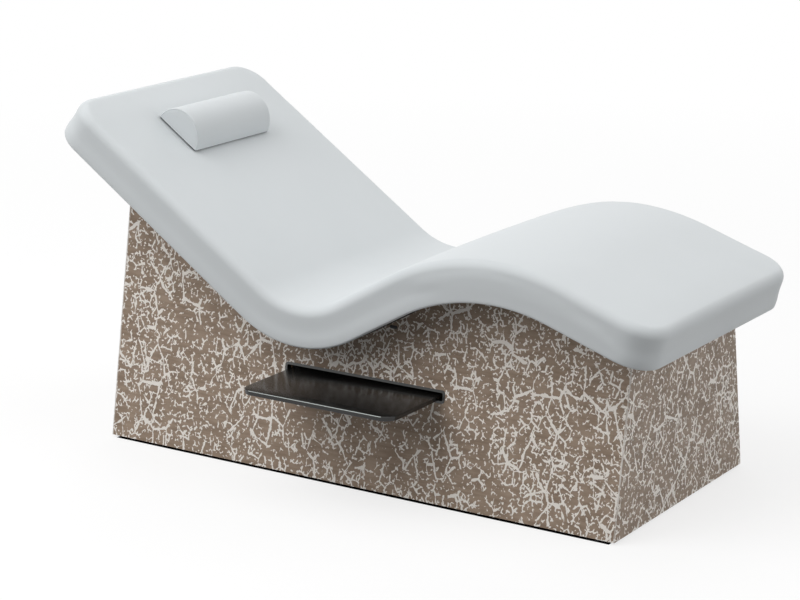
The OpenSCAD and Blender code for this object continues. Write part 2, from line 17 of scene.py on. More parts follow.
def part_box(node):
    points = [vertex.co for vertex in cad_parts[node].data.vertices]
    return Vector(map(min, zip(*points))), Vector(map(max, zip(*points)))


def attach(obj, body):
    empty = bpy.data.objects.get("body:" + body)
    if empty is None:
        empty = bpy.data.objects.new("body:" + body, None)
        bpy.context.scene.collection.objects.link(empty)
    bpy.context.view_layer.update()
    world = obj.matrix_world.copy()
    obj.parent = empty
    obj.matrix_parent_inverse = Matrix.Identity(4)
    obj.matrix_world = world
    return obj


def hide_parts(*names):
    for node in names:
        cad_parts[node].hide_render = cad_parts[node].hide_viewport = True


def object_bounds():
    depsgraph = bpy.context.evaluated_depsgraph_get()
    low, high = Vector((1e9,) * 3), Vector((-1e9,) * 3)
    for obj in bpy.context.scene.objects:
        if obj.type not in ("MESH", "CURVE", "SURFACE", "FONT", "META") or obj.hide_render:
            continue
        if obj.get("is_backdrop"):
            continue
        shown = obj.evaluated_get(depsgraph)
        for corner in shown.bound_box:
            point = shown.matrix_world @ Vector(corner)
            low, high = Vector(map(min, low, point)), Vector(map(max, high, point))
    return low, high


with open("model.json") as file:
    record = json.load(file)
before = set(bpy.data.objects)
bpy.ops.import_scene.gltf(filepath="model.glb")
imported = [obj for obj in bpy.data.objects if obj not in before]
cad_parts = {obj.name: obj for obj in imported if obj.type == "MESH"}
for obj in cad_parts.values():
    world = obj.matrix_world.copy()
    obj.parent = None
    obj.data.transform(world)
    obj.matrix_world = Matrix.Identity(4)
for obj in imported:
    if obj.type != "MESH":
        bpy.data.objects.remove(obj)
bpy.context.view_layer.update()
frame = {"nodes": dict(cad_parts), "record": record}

# %% [markdown]
# ## The photographer's place
# A long lens seen from the foot corner keeps the upright edges upright. The camera's place is
# kept as a point to look at, a turn round it, a rise and a distance, which is how a studio
# would note it down. A lens of 108 mm on a 36 mm sensor gives the picture's narrow view. The
# lamps are placed in the same way, so both use one helper.

# %% The camera
LOOK_AT = Vector((-0.07286, 0.0, 0.44969))
CAMERA_TURN, CAMERA_RISE, CAMERA_DISTANCE = -57.104, 14.9125, 6.9994
LENS_MM, SENSOR_MM = 107.94, 36.0
CLIP_DISTANCE = 200.0


def towards(turn, rise):
    """Unit step in a direction given by its turn from X and its rise, in degrees."""
    turn, rise = math.radians(turn), math.radians(rise)
    return Vector((
        math.cos(turn) * math.cos(rise), math.sin(turn) * math.cos(rise), math.sin(rise)))


def set_up(name, data, centre, way, distance):
    """A camera or lamp that stands off a centre in one direction and is aimed at it."""
    made = bpy.data.objects.new(name, data)
    made.location = centre + distance * way
    made.rotation_euler = way.to_track_quat("Z", "Y").to_euler()
    bpy.context.scene.collection.objects.link(made)
    return made


camera_data = bpy.data.cameras.new("studio_camera")
camera_data.lens = LENS_MM
camera_data.sensor_width = SENSOR_MM
camera_data.clip_end = CLIP_DISTANCE
camera = set_up(
    "studio_camera", camera_data, LOOK_AT, towards(CAMERA_TURN, CAMERA_RISE), CAMERA_DISTANCE)
bpy.context.scene.camera = camera
print("camera at", [round(x, 2) for x in camera.location])

# %% [markdown]
# ## Building a finish from nodes
# A finish is a small network: coordinates, one or two patterns, and the shader. A few helpers
# keep the networks short. `add` makes a node and fills its sockets with numbers or links,
# `feed` links a result to the shader, and `tone` turns a display colour, as a paint card gives
# it, into the linear light values that the shader works with.

# %% Helpers for nodes
def tone(red, green, blue):
    """Linear colour of a display colour given from 0 to 255."""
    def linear(value):
        share = value / 255
        return share / 12.92 if share <= 0.04045 else ((share + 0.055) / 1.055) ** 2.4
    return (linear(red), linear(green), linear(blue), 1.0)


def add(tree, kind, sockets=None, **settings):
    """A new node of that kind, with its settings, numbers and links."""
    made = tree.nodes.new("ShaderNode" + kind)
    for key, value in settings.items():
        setattr(made, key, value)
    for key, value in (sockets or {}).items():
        if isinstance(value, bpy.types.NodeSocket):
            tree.links.new(value, made.inputs[key])
        else:
            made.inputs[key].default_value = value
    return made


def new_finish(name, roughness, metallic=0.0):
    """A material with its node tree and its shader."""
    finish = bpy.data.materials.new(name)
    finish.use_nodes = True
    shader = finish.node_tree.nodes["Principled BSDF"]
    shader.inputs["Roughness"].default_value = roughness
    shader.inputs["Metallic"].default_value = metallic
    return finish, finish.node_tree, shader


def feed(tree, shader, name, value):
    """Link a value or a colour to one input of the shader."""
    tree.links.new(value, shader.inputs[name])


def place_on_object(tree, stretch=(1.0, 1.0, 1.0), shift=(0.0, 0.0, 0.0)):
    """Object coordinates in metres, stretched and shifted."""
    coordinates = add(tree, "TexCoord")
    return add(tree, "Mapping", {
        "Vector": coordinates.outputs["Object"], "Scale": stretch, "Location": shift,
    }).outputs["Vector"]


print("a display grey of 128 is", round(tone(128, 128, 128)[0], 3), "of white's light")

# %% Helpers for values and colours
NOISE_LOW, NOISE_HIGH = 0.3, 0.7


def calc(tree, operation, first, second=0.0, third=0.0):
    """One arithmetic step between sockets or numbers."""
    return add(tree, "Math", {0: first, 1: second, 2: third}, operation=operation).outputs[0]


def step_up(tree, value, low, high, to_low=0.0, to_high=1.0):
    """Value mapped from low..high to to_low..to_high, held at both ends."""
    return add(tree, "MapRange", {
        "Value": value, "From Min": low, "From Max": high, "To Min": to_low, "To Max": to_high,
    }).outputs["Result"]


def spread(tree, noise, to_low, to_high):
    """A noise mapped to another range from the range that most of its values lie in."""
    return step_up(tree, noise, NOISE_LOW, NOISE_HIGH, to_low, to_high)


def mix_colour(tree, share, first, second):
    """The first colour where share is 0, the second where it is 1."""
    made = add(tree, "Mix", {0: share, 6: first, 7: second}, data_type="RGBA")
    return made.outputs[2]


def raise_surface(tree, shader, height, strength, distance):
    """Bump on the shader from a height socket."""
    bump = add(tree, "Bump", {"Height": height, "Strength": strength, "Distance": distance})
    feed(tree, shader, "Normal", bump.outputs["Normal"])


print("most values of a noise lie between", NOISE_LOW, "and", NOISE_HIGH)

# %% [markdown]
# ## Soft studio light
# The picture has no hard shadow, but the corner that faces the camera is darker than the
# faces on both sides of it. That is the work of two large softboxes, one on each side of the
# camera, with the rest of the room dim. The right one and a third, which lights the back, are
# drawn on the room's sky: each is the part of the sky within some degrees of its direction,
# with a soft edge. The camera and the reflections see plain white instead of them.

# %% The room and its softboxes
WHITE = (1.0, 1.0, 1.0, 1.0)
ROOM_LIGHT = 0.1
SKY_BOXES = ((22, 15, 1.8), (115, 20, 1.3))
BOX_FULL, BOX_END = math.cos(math.radians(20)), math.cos(math.radians(36))


def seen_in_picture(tree):
    """1 for rays from the camera, off gloss and through glass, 0 for all others."""
    rays = add(tree, "LightPath").outputs
    seen = calc(tree, "MAXIMUM", rays["Is Camera Ray"], rays["Is Glossy Ray"])
    return calc(tree, "MAXIMUM", seen, rays["Is Transmission Ray"])


room = bpy.data.worlds.new("studio_room")
room.use_nodes = True
tree = room.node_tree
tree.nodes.clear()
way = add(tree, "TexCoord").outputs["Generated"]
strength = ROOM_LIGHT
for turn, rise, light in SKY_BOXES:
    facing = add(tree, "VectorMath", {0: way, 1: towards(turn, rise)},
                 operation="DOT_PRODUCT").outputs["Value"]
    strength = calc(tree, "ADD", strength, step_up(tree, facing, BOX_END, BOX_FULL, 0.0, light))
lit = add(tree, "Background", {"Color": WHITE, "Strength": strength})
white = add(tree, "Background", {"Color": WHITE, "Strength": 1.0})
chosen = add(tree, "MixShader", {0: seen_in_picture(tree), 1: lit.outputs[0], 2: white.outputs[0]})
add(tree, "OutputWorld", {"Surface": chosen.outputs[0]})
bpy.context.scene.world = room
print("room light", ROOM_LIGHT, "with", len(SKY_BOXES), "softboxes in the sky")

# %% [markdown]
# ## Two lamps
# The softbox on the left stands near enough for its light to fade from the head end to the
# foot end. A sky is too far away for that, so this one is a round area lamp, which the camera
# and the reflections don't see. A wide panel overhead lights the pad from above: a sun lamp
# with a very wide angle gives its light evenly at any distance.

# %% The left softbox and the overhead panel
LEFT_BOX_TURN, LEFT_BOX_RISE, LEFT_BOX_WATTS = -125, 40, 336.0
LEFT_BOX_DISTANCE, LEFT_BOX_RADIUS = 8.0, 4.1
OVERHEAD_LIGHT = 1.34
OVERHEAD_WIDTH = math.radians(70)
OVERHEAD_TILT = (math.radians(10), math.radians(-8), 0.0)

overhead_data = bpy.data.lights.new("overhead_panel", "SUN")
overhead_data.energy = OVERHEAD_LIGHT
overhead_data.angle = OVERHEAD_WIDTH
overhead = bpy.data.objects.new("overhead_panel", overhead_data)
overhead.rotation_euler = OVERHEAD_TILT
bpy.context.scene.collection.objects.link(overhead)

left_box_data = bpy.data.lights.new("left_softbox", "AREA")
left_box_data.shape = "DISK"
left_box_data.size = 2 * LEFT_BOX_RADIUS
left_box_data.energy = LEFT_BOX_WATTS
left_box_way = towards(LEFT_BOX_TURN, LEFT_BOX_RISE)
left_box = set_up("left_softbox", left_box_data, Vector(), left_box_way, LEFT_BOX_DISTANCE)
left_box.visible_camera = False
left_box.visible_glossy = False
print("left softbox", 2 * LEFT_BOX_RADIUS, "m wide at", LEFT_BOX_DISTANCE, "m")

# %% [markdown]
# ## The white floor
# The real studio floor throws less light back up than it seems to, so the floor's colour is
# white to the camera and to reflections and a mid grey to all other rays. Round the object it
# still holds a pale share of the shadow, which fades out further off, so that the backdrop is
# plain white. In the low recess between the plinth rails, which no light reaches, its colour
# is painted nearly black as shade. From below it can be looked through.

# %% Floor finish
FLOOR_BOUNCE = 0.30
FLOOR_SHADE = 0.27
SHADE_FULL, SHADE_END = 2.0, 6.0
RECESS_HALF_LENGTH, RECESS_HALF_WIDTH = 0.834, 0.3885
RECESS_PAINTED_SHADE = tone(12, 12, 12)

floor_finish, tree, shader = new_finish("white_floor", 0.9)
shader.inputs["Specular IOR Level"].default_value = 0.0
where = place_on_object(tree)
away = add(tree, "VectorMath", {0: where}, operation="LENGTH").outputs["Value"]
shade = step_up(tree, away, SHADE_FULL, SHADE_END, FLOOR_SHADE, 0.0)
spot = add(tree, "SeparateXYZ", {0: where}).outputs
recess = calc(tree, "MULTIPLY",
              calc(tree, "LESS_THAN", calc(tree, "ABSOLUTE", spot["X"]), RECESS_HALF_LENGTH),
              calc(tree, "LESS_THAN", calc(tree, "ABSOLUTE", spot["Y"]), RECESS_HALF_WIDTH))
seen = seen_in_picture(tree)
colour = mix_colour(tree, seen, (FLOOR_BOUNCE, FLOOR_BOUNCE, FLOOR_BOUNCE, 1.0), WHITE)
# Painted shade: in the recess under the box the floor's colour is nearly black.
feed(tree, shader, "Base Color", mix_colour(tree, recess, colour, RECESS_PAINTED_SHADE))
lit_share = calc(tree, "ADD", shade, recess)
glow_share = calc(tree, "MULTIPLY", seen, calc(tree, "SUBTRACT", 1.0, lit_share))
glow = add(tree, "Emission", {"Color": WHITE, "Strength": 1.0})
from_above = add(tree, "MixShader", {0: glow_share, 1: shader.outputs[0], 2: glow.outputs[0]})
below = add(tree, "NewGeometry").outputs["Backfacing"]
clear = add(tree, "BsdfTransparent")
both = add(tree, "MixShader", {0: below, 1: from_above.outputs[0], 2: clear.outputs[0]})
tree.links.new(both.outputs[0], tree.nodes["Material Output"].inputs["Surface"])
print("floor throws back", FLOOR_BOUNCE, "and shows", FLOOR_SHADE, "of the shadow")

# %% Floor
FLOOR_HALF = 40.0

shape = bmesh.new()
bmesh.ops.create_grid(shape, x_segments=1, y_segments=1, size=FLOOR_HALF)
floor_mesh = bpy.data.meshes.new("studio_floor")
shape.to_mesh(floor_mesh)
shape.free()
floor = bpy.data.objects.new("studio_floor", floor_mesh)
floor.data.materials.append(floor_finish)
bpy.context.scene.collection.objects.link(floor)
floor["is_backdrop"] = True

bpy.context.scene.view_settings.view_transform = "Standard"
print("floor", 2 * FLOOR_HALF, "m square")

# %% [markdown]
# ## The wave that the pad follows
# From the side the pad is one bent board: a straight back, an arc under the seat, a short
# rise under the thighs, an arc over the knees and a straight run down to the feet. The same
# few sizes as in the CAD describe it. `on_wave` takes a distance along the underside and a
# height above it, and gives the place in the room.

# %% Sizes of the wave
SEAT_X, SEAT_Z = -0.126, 0.4013
SEAT_RADIUS, KNEE_RADIUS = 0.352, 0.552
BACK_SLOPE, THIGH_SLOPE, LEG_SLOPE = (math.radians(a) for a in (34.65, 29.65, 18.65))
THIGH_RUN = 0.189
HEAD_OVERHANG, FOOT_OVERHANG = 0.1515, 0.0962

base_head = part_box("head_laminate")[0].x
base_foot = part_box("foot_laminate")[1].x


def slope_line(angle):
    """Unit steps along a slope and square to it, as x and z."""
    return Vector((math.cos(angle), math.sin(angle))), Vector((-math.sin(angle), math.cos(angle)))


def seat_point(angle):
    """The point of the seat's arc where it has that slope."""
    return Vector((SEAT_X, SEAT_Z + SEAT_RADIUS)) - SEAT_RADIUS * slope_line(angle)[1]


knee_start = seat_point(THIGH_SLOPE) + THIGH_RUN * slope_line(THIGH_SLOPE)[0]
knee_centre = knee_start - KNEE_RADIUS * slope_line(THIGH_SLOPE)[1]


def knee_point(angle):
    """The point of the knees' arc where it has that slope."""
    return knee_centre + KNEE_RADIUS * slope_line(angle)[1]


back_run = (seat_point(-BACK_SLOPE).x - base_head + HEAD_OVERHANG) / math.cos(BACK_SLOPE)
leg_run = (base_foot + FOOT_OVERHANG - knee_point(-LEG_SLOPE).x) / math.cos(LEG_SLOPE)
thigh_at = back_run + SEAT_RADIUS * (BACK_SLOPE + THIGH_SLOPE)
knee_at = thigh_at + THIGH_RUN
leg_at = knee_at + KNEE_RADIUS * (THIGH_SLOPE + LEG_SLOPE)
PAD_LENGTH = leg_at + leg_run
print("pad runs", round(PAD_LENGTH, 3), "m along its underside")


# %% A place on the wave
def on_wave(along, above):
    """x and z of a point at a distance along the underside and a height above it."""
    if along < back_run:
        angle = -BACK_SLOPE
        foot = seat_point(angle) + (along - back_run) * slope_line(angle)[0]
    elif along < thigh_at:
        angle = -BACK_SLOPE + (along - back_run) / SEAT_RADIUS
        foot = seat_point(angle)
    elif along < knee_at:
        angle = THIGH_SLOPE
        foot = seat_point(angle) + (along - thigh_at) * slope_line(angle)[0]
    elif along < leg_at:
        angle = THIGH_SLOPE - (along - knee_at) / KNEE_RADIUS
        foot = knee_point(angle)
    else:
        angle = -LEG_SLOPE
        foot = knee_point(angle) + (along - leg_at) * slope_line(angle)[0]
    return foot + above * slope_line(angle)[1]


print("seat at", [round(x, 3) for x in on_wave((back_run + thigh_at) / 2, 0.0)])

# %% [markdown]
# ## Helpers for modelling
# Each piece starts as a plain block that bmesh operators round, slice and bend. `block` makes
# the block from its lowest and highest corner. `slice_across` cuts it into strips, so that it
# has enough points to bend. `finished` turns the shape into an object at the origin.

# %% Modelling helpers
TINY = 1e-5
LEVEL = 0.99


def block(low, high):
    """A bmesh box between two corners."""
    shape = bmesh.new()
    bmesh.ops.create_cube(shape, size=1.0)
    low, high = Vector(low), Vector(high)
    bmesh.ops.scale(shape, vec=high - low, verts=shape.verts)
    bmesh.ops.translate(shape, vec=(low + high) / 2, verts=shape.verts)
    return shape


def slice_across(shape, axis, start, end, pitch):
    """Even cuts square to an axis, from start to end."""
    count = max(1, round((end - start) / pitch))
    normal = Vector([1.0 if k == axis else 0.0 for k in range(3)])
    for k in range(count + 1):
        bmesh.ops.bisect_plane(
            shape, geom=shape.verts[:] + shape.edges[:] + shape.faces[:], dist=TINY,
            plane_co=normal * (start + (end - start) * k / count), plane_no=normal)


def round_edges(shape, edges, radius, segments):
    """A round bevel along the edges."""
    bmesh.ops.bevel(
        shape, geom=edges, offset=radius, segments=segments, affect="EDGES",
        profile=0.5, material=-1, clamp_overlap=True)


def upright_edges(shape):
    """Edges that run along Z."""
    return [e for e in shape.edges if (e.verts[0].co - e.verts[1].co).to_2d().length < TINY]


def rim_edges(shape, height):
    """Edges that lie at one height between a level face and a side."""
    return [
        e for e in shape.edges
        if all(abs(v.co.z - height) < TINY for v in e.verts)
        and any(abs(f.normal.z) < 0.5 for f in e.link_faces)
    ]


def sharp_edges(shape, least):
    """Edges whose faces turn by more than that many degrees."""
    return [e for e in shape.edges if e.calc_face_angle(0.0) > math.radians(least)]


# %% [markdown]
# ## A fixed order
# The mesh operators leave points and faces in an order that may change from run to run. A
# cloth simulation adds up its forces in that order, so its result would change with it. So a
# cover is set in one order before it is filled: the points by their place, the faces by their
# points. Places are rounded to a hundredth of a millimetre, so that the last digit has no
# say. The other pieces have the same shape in any order.

# %% The same order in every run
PLACE_DIGITS = 5


def in_order(shape):
    """The same shape, with its points and faces in an order that only their places set."""
    ordered = bmesh.new()
    points = sorted(shape.verts, key=lambda v: [round(c, PLACE_DIGITS) for c in v.co])
    twin = {point: ordered.verts.new(point.co) for point in points}
    ordered.verts.index_update()
    outlines = []
    for face in shape.faces:
        around = [twin[v] for v in face.verts]
        first = min(range(len(around)), key=lambda k: around[k].index)
        outlines.append((around[first:] + around[:first], face.material_index))
    outlines.sort(key=lambda outline: [v.index for v in outline[0]])
    for around, material in outlines:
        ordered.faces.new(around).material_index = material
    shape.free()
    return ordered


# %% From a shape to a piece
def finished(shape, name, finish, body, smooth=True):
    """An object at the origin that wears a finish and rides on a CAD body."""
    bmesh.ops.recalc_face_normals(shape, faces=shape.faces)
    mesh = bpy.data.meshes.new(name)
    shape.to_mesh(mesh)
    shape.free()
    for face in mesh.polygons:
        face.use_smooth = smooth
    piece = bpy.data.objects.new(name, mesh)
    bpy.context.scene.collection.objects.link(piece)
    piece.data.materials.append(finish)
    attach(piece, body)
    return piece


def subdivide(piece, levels):
    """A Subdivision Surface modifier that previews as it renders."""
    made = piece.modifiers.new("even_curve", "SUBSURF")
    made.levels = levels
    made.render_levels = levels


# %% [markdown]
# ## Filling a cover
# A stuffed cover stands out a little between the places where it is held. A cloth simulation
# with pressure inside gives that swell by itself, without a shape to be drawn by hand. The
# cover's held points stay where they are, and no point may move further than the foam would
# push it. The simulation runs here once and its result is kept in the mesh, so none is left on
# the piece.

# %% The stuffing
STUFFING = {
    "quality": 6, "mass": 0.4, "tension_stiffness": 40.0, "compression_stiffness": 40.0,
    "shear_stiffness": 20.0, "bending_stiffness": 2.0, "use_pressure": True,
    "uniform_pressure_force": 4.0,
}
SWELL_FRAMES = 20


def swell(piece, held, most):
    """Blow a cover up against its held points, and keep every point within most of its start."""
    group = piece.vertex_groups.new(name="held")
    group.add(held, 1.0, "REPLACE")
    before = [v.co.copy() for v in piece.data.vertices]
    cloth = piece.modifiers.new("stuffing", "CLOTH")
    for key, value in STUFFING.items():
        setattr(cloth.settings, key, value)
    cloth.settings.vertex_group_mass = group.name
    cloth.settings.effector_weights.gravity = 0.0
    cloth.point_cache.frame_start = 1
    cloth.point_cache.frame_end = SWELL_FRAMES
    for k in range(1, SWELL_FRAMES + 1):
        bpy.context.scene.frame_set(k)
    shown = piece.evaluated_get(bpy.context.evaluated_depsgraph_get())
    after = [v.co.copy() for v in shown.data.vertices]
    piece.modifiers.remove(cloth)
    piece.vertex_groups.remove(group)
    furthest = 0.0
    for vertex, start, end in zip(piece.data.vertices, before, after):
        move = end - start
        furthest = max(furthest, move.length)
        if move.length > most:
            move *= most / move.length
        vertex.co = start + move
    bpy.context.scene.frame_set(1)
    print(piece.name, "swelled by up to", round(1000 * furthest, 1), "mm, kept to", 1000 * most)


# %% [markdown]
# ## Upholstery vinyl
# The covers are a smooth, pale, cool grey vinyl. Close up it has the fine pebble of artificial
# leather, and its gloss changes a little where hands and cleaning have been. A picture of
# leather would stretch over the curves, so the pebble is a Voronoi pattern of about a
# millimetre, used as bump, and a noise changes the gloss.

# %% Vinyl finish
VINYL = tone(218, 222, 224)
VINYL_SHADE = tone(212, 217, 219)
VINYL_CLOUDS_PER_METRE, PEBBLES_PER_METRE = 5.0, 900.0
PEBBLE_HEIGHT = 0.0004

vinyl, tree, shader = new_finish("pale_vinyl", 0.5)
where = place_on_object(tree)
clouds = add(tree, "TexNoise", {
    "Vector": where, "Scale": VINYL_CLOUDS_PER_METRE, "Detail": 3.0}).outputs[0]
pebbles = add(tree, "TexVoronoi", {"Vector": where, "Scale": PEBBLES_PER_METRE},
              feature="SMOOTH_F1").outputs["Distance"]
feed(tree, shader, "Base Color", mix_colour(tree, clouds, VINYL_SHADE, VINYL))
feed(tree, shader, "Roughness", spread(tree, clouds, 0.44, 0.54))
raise_surface(tree, shader, pebbles, 0.12, PEBBLE_HEIGHT)
shader.inputs["Specular IOR Level"].default_value = 0.35
print("vinyl with", PEBBLES_PER_METRE, "pebbles to the metre")

# %% [markdown]
# ## Non-slip cloth
# The pillow stands on a dark cloth with a rubbery face, ribbed finely enough to grip the pad.
# The ribs are a wave pattern used as bump: they are far too fine to be worth modelling. Where
# the cloth turns up round the pillow's foot, its dark colour is also painted shade there.

# %% Non-slip finish
RIBS_PER_METRE, RIBS_PER_WAVE_SCALE = 450.0, 20
RIB_HEIGHT = 0.0004

non_slip_and_shade, tree, shader = new_finish("non_slip_cloth_and_shade", 0.9)
ribs = add(tree, "TexWave", {
    "Vector": place_on_object(tree), "Scale": RIBS_PER_METRE / RIBS_PER_WAVE_SCALE,
    "Distortion": 0.4,
}, bands_direction="Y").outputs[0]
feed(tree, shader, "Base Color", mix_colour(tree, ribs, tone(40, 41, 43), tone(60, 61, 63)))
raise_surface(tree, shader, ribs, 0.3, RIB_HEIGHT)
print("non-slip cloth with", RIBS_PER_METRE, "ribs to the metre")

# %% [markdown]
# ## The pad
# The pad is foam on a moulded shell under one stretched cover, with no seam on show. A flat
# block of its real length gets its round corners, its soft upper edge and its tighter lower
# edge while it is still easy to measure. It is then sliced, bent along the wave, and filled:
# a cloth simulation with a little pressure inside swells the cover between its corners, as
# foam does.

# %% Flat pad block
PAD_WIDTH, PAD_THICK = 0.880, 0.118
PAD_CORNER, PAD_TOP_ROUND, PAD_LOW_ROUND = 0.095, 0.029, 0.007
PAD_CORNER_STEPS, PAD_TOP_STEPS, PAD_LOW_STEPS = 9, 8, 4
PAD_SWELL = 0.002
HEM_IN, HEM_STEP = 0.047, 0.0015

half_width = PAD_WIDTH / 2
pad_top = PAD_THICK - PAD_SWELL
pad = block((0.0, -half_width, 0.0), (PAD_LENGTH, half_width, pad_top))
round_edges(pad, upright_edges(pad), PAD_CORNER, PAD_CORNER_STEPS)
round_edges(pad, rim_edges(pad, pad_top), PAD_TOP_ROUND, PAD_TOP_STEPS)
round_edges(pad, rim_edges(pad, 0.0), PAD_LOW_ROUND, PAD_LOW_STEPS)
under = [f for f in pad.faces if f.normal.z < -LEVEL]
bmesh.ops.inset_region(pad, faces=under, thickness=HEM_IN - PAD_LOW_ROUND, depth=0.0)
under = max((f for f in pad.faces if f.normal.z < -LEVEL), key=lambda f: f.calc_area())
bmesh.ops.inset_region(pad, faces=[under], thickness=HEM_STEP, depth=-HEM_STEP)
print("flat pad", len(pad.faces), "faces")

# %% Slice and crown the pad
PAD_STRIP, PAD_ROW, PAD_LAYER = 0.018, 0.030, 0.016
PAD_CROWN = 0.005
SHELL_TOP = 0.026

slice_across(pad, 0, PAD_CORNER, PAD_LENGTH - PAD_CORNER, PAD_STRIP)
slice_across(pad, 1, -half_width + PAD_CORNER, half_width - PAD_CORNER, PAD_ROW)
slice_across(pad, 2, SHELL_TOP, PAD_THICK - PAD_TOP_ROUND - PAD_LAYER, PAD_LAYER)
level_half = half_width - PAD_TOP_ROUND
for vertex in pad.verts:
    inwards = PAD_SWELL * min(1.0, max(0.0, vertex.co.z / SHELL_TOP - 1.0))
    from_middle = vertex.co.x - PAD_LENGTH / 2
    vertex.co.x -= inwards * from_middle / (PAD_LENGTH / 2)
    vertex.co.y -= inwards * vertex.co.y / half_width
    across = max(0.0, 1.0 - (vertex.co.y / level_half) ** 2)
    ends = min(1.0, vertex.co.x / PAD_CORNER, (PAD_LENGTH - vertex.co.x) / PAD_CORNER)
    height = max(0.0, (vertex.co.z - pad_top / 2) / (pad_top / 2))
    vertex.co.z += PAD_CROWN * across * max(0.0, ends) * height
print("sliced pad", len(pad.faces), "faces")

# %% Bend and fill the pad
pad = in_order(pad)
held = [v.index for v in pad.verts if v.co.z < SHELL_TOP + TINY]
for vertex in pad.verts:
    vertex.co.x, vertex.co.z = on_wave(vertex.co.x, vertex.co.z)
pad_piece = finished(pad, "wave_pad", vinyl, "base")
swell(pad_piece, held, PAD_SWELL)
subdivide(pad_piece, 1)
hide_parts("pad_cover", "foam_topper", "foam_core")
print("pad", len(pad_piece.data.polygons), "faces")

# %% [markdown]
# ## The pillow
# The pillow is a half-round bolster. Its top panel is sewn to two flat end panels, so a thin
# seam runs round each end just inside the edge, and its base is a dark non-slip cloth that
# turns up a little way all round; that dark strip is partly painted shade along its foot. A
# half disc is cut from a circle and pulled out to the pillow's length, and its edges are
# rounded. Each end face is drawn in ring by ring for the seam: scaling a ring about the middle
# of its face can't make it cross itself, as an even inset does where the half disc comes to its
# corners.

# %% Half-round block
PILLOW_RADIUS, PILLOW_LIFT, PILLOW_LENGTH = 0.0815, 0.004, 0.362
PILLOW_STEPS = 48
PILLOW_EDGE, PILLOW_EDGE_STEPS = 0.0026, 3
PILLOW_SWELL = 0.0015

pillow = bmesh.new()
bmesh.ops.create_circle(
    pillow, cap_ends=True, segments=PILLOW_STEPS, radius=PILLOW_RADIUS - PILLOW_SWELL)
bmesh.ops.rotate(
    pillow, cent=(0, 0, 0), matrix=Matrix.Rotation(math.pi / 2, 3, "X"), verts=pillow.verts)
bmesh.ops.translate(pillow, vec=(0, -PILLOW_LENGTH / 2, -PILLOW_LIFT), verts=pillow.verts)
bmesh.ops.bisect_plane(
    pillow, geom=pillow.verts[:] + pillow.edges[:] + pillow.faces[:], dist=TINY,
    plane_co=(0, 0, 0), plane_no=(0, 0, 1), clear_inner=True)
pulled = bmesh.ops.extrude_face_region(pillow, geom=pillow.faces[:])
bmesh.ops.translate(
    pillow, vec=(0, PILLOW_LENGTH, 0),
    verts=[v for v in pulled["geom"] if isinstance(v, bmesh.types.BMVert)])
bmesh.ops.recalc_face_normals(pillow, faces=pillow.faces)
round_edges(pillow, sharp_edges(pillow, 40), PILLOW_EDGE, PILLOW_EDGE_STEPS)
print("half-round block", len(pillow.faces), "faces")

# %% End seams
SEAM_IN, SEAM_WIDE, SEAM_DEEP = 0.0012, 0.0028, 0.0018
END_RINGS, END_RING = 2, 0.013


def draw_in(shape, face, width, push=0.0):
    """A ring of that width inside a flat end face, and the face pushed out along Y."""
    ring = bmesh.ops.extrude_discrete_faces(shape, faces=[face])["faces"][0]
    side = 1.0 if ring.normal.y > 0 else -1.0
    low = Vector([min(v.co[k] for v in ring.verts) for k in range(3)])
    high = Vector([max(v.co[k] for v in ring.verts) for k in range(3)])
    size = high - low
    shares = (1 - 2 * width / size.x, 1.0, 1 - 2 * width / size.z)
    middle = Matrix.Translation(-(low + high) / 2)
    bmesh.ops.scale(shape, vec=shares, space=middle, verts=ring.verts)
    bmesh.ops.translate(shape, vec=(0.0, side * push, 0.0), verts=ring.verts)
    return ring


for side in (-1, 1):
    facing_out = (f for f in pillow.faces if f.normal.y * side > LEVEL)
    end = max(facing_out, key=lambda f: f.calc_area())
    end = draw_in(pillow, end, SEAM_IN)
    end = draw_in(pillow, end, SEAM_WIDE / 2, -SEAM_DEEP)
    end = draw_in(pillow, end, SEAM_WIDE / 2, SEAM_DEEP)
    for k in range(END_RINGS):
        end = draw_in(pillow, end, END_RING)
print("pillow with end seams", len(pillow.faces), "faces")

# %% Fill the pillow and lay it on the back
PILLOW_PLACE = 0.232
PILLOW_CLEAR, GRIP_SHEET = 0.0003, 0.001
PILLOW_STRIP, PILLOW_STRIPS_IN = 0.016, 0.02

strips_half = PILLOW_LENGTH / 2 - PILLOW_STRIPS_IN
slice_across(pillow, 1, -strips_half, strips_half, PILLOW_STRIP)
pillow = in_order(pillow)
held = [v.index for v in pillow.verts
        if v.co.z < 2 * PILLOW_EDGE or abs(v.co.y) > PILLOW_LENGTH / 2 - 2 * PILLOW_EDGE]
# The lowest faces take the dark cloth; this turned-up strip is partly painted shade.
for face in pillow.faces:
    face.material_index = int(all(v.co.z < PILLOW_EDGE + TINY for v in face.verts))
tilt = Matrix.Rotation(BACK_SLOPE, 4, "Y")
foot = on_wave(PILLOW_PLACE, PAD_THICK + PAD_CROWN + PILLOW_CLEAR + GRIP_SHEET)
lay = Matrix.Translation((foot.x, 0, foot.y)) @ tilt
bmesh.ops.transform(pillow, matrix=lay, verts=pillow.verts)
pillow_piece = finished(pillow, "half_round_pillow", vinyl, "pillow")
pillow_piece.data.materials.append(non_slip_and_shade)
swell(pillow_piece, held, PILLOW_SWELL)
subdivide(pillow_piece, 1)
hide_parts("pillow_cover", "pillow_foam")
print("pillow", len(pillow_piece.data.polygons), "faces")

